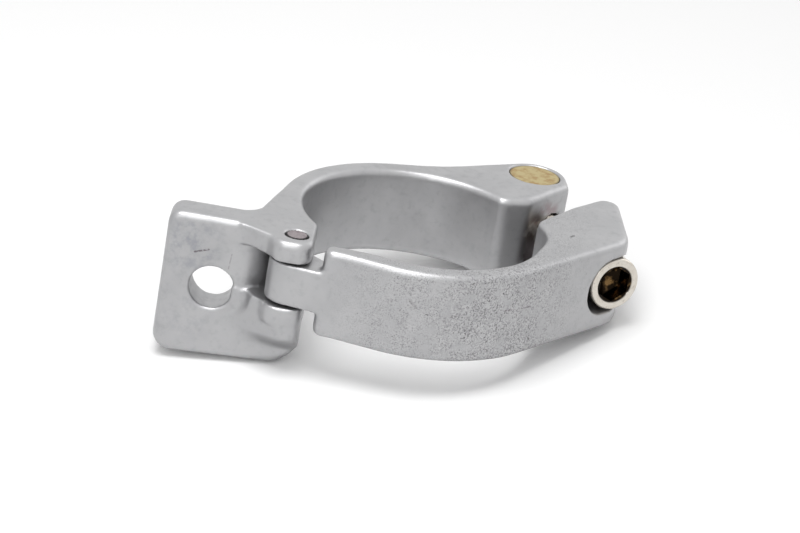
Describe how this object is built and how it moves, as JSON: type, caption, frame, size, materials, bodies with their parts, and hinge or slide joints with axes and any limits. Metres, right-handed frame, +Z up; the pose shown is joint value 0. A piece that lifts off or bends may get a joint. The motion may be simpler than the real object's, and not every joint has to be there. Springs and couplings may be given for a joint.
{
  "type": "front derailleur clamp",
  "caption": "Hinged two-piece seat tube clamp with a side plate and hole that carry a bolt-on front derailleur, closed by a cap bolt in a barrel nut.",
  "frame": {"origin": "centre of the seat tube bore, at the middle of the band's height", "axes": "+Z up along the seat tube, -Y the way the derailleur's mounting face looks, +X from the hinge side across the bore to the bolt side"},
  "size_m": [0.0711, 0.0537, 0.0226],
  "materials": {
    "cast_aluminium": "tumbled satin, as cast",
    "pin_steel": "dull steel with a knurled end",
    "brass": "satin",
    "plated_steel": "nickel plate"
  },
  "bodies": {
    "bracket": {"bracket": "cast_aluminium", "hinge_pin": "pin_steel"},
    "arm": {"clamp_arm": "cast_aluminium"},
    "nut": {"barrel_nut": "brass"},
    "bolt": {"clamp_bolt": "plated_steel"}
  },
  "joints": [
    {"name": "arm_hinge", "type": "hinge", "parent": "bracket", "child": "arm", "pos_m": [-0.0171, -0.016, 0], "axis": [0, 0, -1], "range_deg": [-5, 2.5]},
    {"name": "nut_swivel", "type": "hinge", "parent": "bracket", "child": "nut", "pos_m": [0.01708, 0.02562, 0], "axis": [0, 0, -1], "range_deg": [-0.85, 0.42]},
    {"name": "bolt_travel", "type": "slide", "parent": "nut", "child": "bolt", "axis": [0.5301, -0.8479, 0], "range_m": [-0.00446, 0.00223]}
  ],
  "couplings": [
    {"joint": "nut_swivel", "follows": "arm_hinge", "ratio": 0.169},
    {"joint": "bolt_travel", "follows": "arm_hinge", "m_per_rad": 0.0511}
  ]
}
